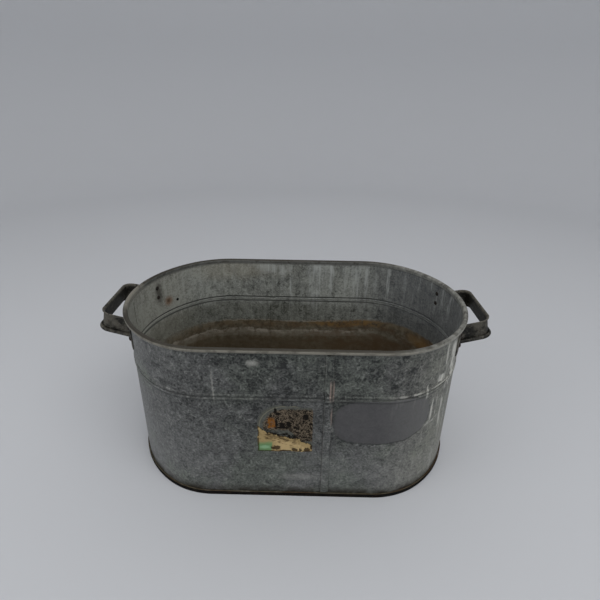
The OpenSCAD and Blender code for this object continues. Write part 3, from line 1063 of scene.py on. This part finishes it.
@dataclass
class HolePlug:
    """The small dark plug, riveted into the hole through the left end."""

    turn: float = 39.0
    height: float = 0.229

    def build(self, tree: RivetTree, finish: bpy.types.Material) -> None:
        """Makes the plug."""
        sizes = {"head_radius": 0.0031, "head_rise": 0.001, "tail_rise": 0.0008, "plate": 0.0, "hammering": 0.0003}
        turns = (math.radians(self.turn),)
        RivetSet("hole_plug", Side.LEFT, 4.5, turns, (self.height,), **sizes).build(tree, finish)


@dataclass
class WashTub:
    """The whole tub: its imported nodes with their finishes, and its hammered rivets."""

    sheet: SheetFinish = field(default_factory=SheetFinish)
    pan: PanFinish = field(default_factory=PanFinish)
    strip: StripFinish = field(default_factory=StripFinish)
    rivet: RivetFinish = field(default_factory=RivetFinish)
    label: LabelFinish = field(default_factory=LabelFinish)

    def build(self) -> None:
        """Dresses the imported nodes, and makes the rivets."""
        sheet = self.sheet.build("galvanized_sheet")
        strip = self.strip.build("handle_strip")
        steel = self.rivet.build("rivet_steel")
        finishes = {
            "body_sheet_right": sheet,
            "body_sheet_left": sheet,
            "bottom_pan": self.pan.build("bottom_pan_sheet"),
            "rim_wire": steel,
            "handle_left": strip,
            "handle_right": strip,
            "handle_rivets_left": steel,
            "handle_rivets_right": steel,
            "paper_label": self.label.build("label_paper"),
        }
        for node, finish in finishes.items():
            self.dress(node, finish)
        tree = RivetTree("set_rivets")
        for seed, side in enumerate(Side):
            HandleRivets(side, seed + 0.5).build(tree, steel)
        HolePlug().build(tree, RivetFinish(tint(26, 24, 22), tint(18, 16, 14)).build("plug_steel"))

    def dress(self, node: str, finish: bpy.types.Material) -> None:
        """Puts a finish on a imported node."""
        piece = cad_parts[node]
        if not piece.material_slots:
            piece.data.materials.append(finish)
        for slot in piece.material_slots:
            slot.material = finish
        LOG.info("%s: %s", node, finish.name)


@dataclass
class Studio:
    """A pale floor that sweeps up all round, a soft sky and two soft lamps."""

    flat_radius: float = 2.2
    sweep_radius: float = 0.9
    wall_height: float = 2.6
    segments: int = 96
    pale: Colour = tint(202, 204, 208)

    def build(self) -> None:
        """Makes the stage and its light."""
        self.floor()
        self.sky((1.0, 1.0, 1.0), 0.67)
        self.lamp("lamp_key", Vector((0.75, -1.15, 1.9)), 1.5, 15.0)
        self.lamp("lamp_fill", Vector((-1.4, -0.9, 1.2)), 1.1, 5.0)
        LOG.info("studio: floor, sky and lamps")

    def profile(self) -> list[tuple[float, float]]:
        """Lists the sweep's section as radius and height, from the middle out."""
        steps = 16
        bend = [
            (
                self.flat_radius + self.sweep_radius * math.sin(step * math.pi / 2 / steps),
                self.sweep_radius * (1 - math.cos(step * math.pi / 2 / steps)),
            )
            for step in range(steps + 1)
        ]
        return [*bend, (self.flat_radius + self.sweep_radius, self.wall_height)]

    def floor(self) -> None:
        """Makes the floor and its sweep as one smooth mesh."""
        rings = self.profile()
        points = [(0.0, 0.0, 0.0)]
        for radius, height in rings:
            for step in range(self.segments):
                turn = 2 * math.pi * step / self.segments
                points.append((radius * math.cos(turn), radius * math.sin(turn), height))
        faces: list[tuple[int, ...]] = []
        for step in range(self.segments):
            after = (step + 1) % self.segments
            faces.append((0, 1 + step, 1 + after))
            for ring in range(len(rings) - 1):
                low = 1 + ring * self.segments
                high = low + self.segments
                faces.append((low + step, high + step, high + after, low + after))
        mesh = bpy.data.meshes.new("studio_floor")
        mesh.from_pydata(points, [], faces)
        mesh.polygons.foreach_set("use_smooth", [True] * len(mesh.polygons))
        ground = bpy.data.objects.new("studio_floor", mesh)
        bpy.context.scene.collection.objects.link(ground)
        g = ShaderGraph("studio_paint")
        mesh.materials.append(g.finish(self.pale, 0.8, 0.0, g.noise(40.0, 2.0), 0.0001))

    def sky(self, colour: Colour, strength: float) -> None:
        """Lights the scene evenly from above with one plain colour."""
        world = bpy.data.worlds.new("studio_sky")
        world.use_nodes = True
        background = world.node_tree.nodes["Background"]
        background.inputs["Color"].default_value = (*colour, 1.0)
        background.inputs["Strength"].default_value = strength
        bpy.context.scene.world = world

    def lamp(self, name: str, place: Vector, size: float, power: float) -> None:
        """Hangs a square soft lamp that points at the tub.

        Args:
            name: The lamp's name.
            place: Where it hangs.
            size: The length of its side.
            power: Its power in watts.
        """
        light = bpy.data.lights.new(name, "AREA")
        light.size = size
        light.energy = power
        lamp = bpy.data.objects.new(name, light)
        lamp.location = place
        lamp.rotation_euler = (Vector((0.0, 0.0, 0.15)) - place).to_track_quat("-Z", "Y").to_euler()
        lamp.visible_camera = False
        bpy.context.scene.collection.objects.link(lamp)


@dataclass(frozen=True)
class PhotoCamera:
    """A camera where the photograph was taken, found from the tub's outline."""

    focal_pixels: float = 450.1
    frame_pixels: float = 600.0
    sensor: float = 36.0
    place: tuple[float, float, float] = (0.015, -0.729, 0.645)
    pitch: float = 25.99
    yaw: float = -0.58
    roll: float = -0.87

    def build(self) -> bpy.types.Object:
        """Makes the camera and hands it to the scene."""
        pitch, yaw, roll = (math.radians(angle) for angle in (self.pitch, self.yaw, self.roll))
        ahead = Vector(
            (math.sin(yaw) * math.cos(pitch), math.cos(yaw) * math.cos(pitch), -math.sin(pitch))
        )
        level = Vector((math.cos(yaw), -math.sin(yaw), 0.0))
        down = ahead.cross(level)
        right = level * math.cos(roll) + down * math.sin(roll)
        below = down * math.cos(roll) - level * math.sin(roll)
        turn = Matrix((right, -below, -ahead)).transposed().to_4x4()
        data = bpy.data.cameras.new("photo_camera")
        data.sensor_width = self.sensor
        data.lens = self.sensor * self.focal_pixels / self.frame_pixels
        camera = bpy.data.objects.new("photo_camera", data)
        camera.matrix_world = Matrix.Translation(self.place) @ turn
        bpy.context.scene.collection.objects.link(camera)
        bpy.context.scene.camera = camera
        LOG.info("camera: %.1f mm lens", data.lens)
        return camera


def main() -> None:
    """Builds the camera, the studio and the tub, in that order."""
    logging.basicConfig(level=logging.INFO, format="%(message)s")
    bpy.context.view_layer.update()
    settings = bpy.context.scene.view_settings
    settings.view_transform = "Standard"
    PhotoCamera().build()
    Studio().build()
    WashTub().build()


if __name__ == "__main__":
    main()
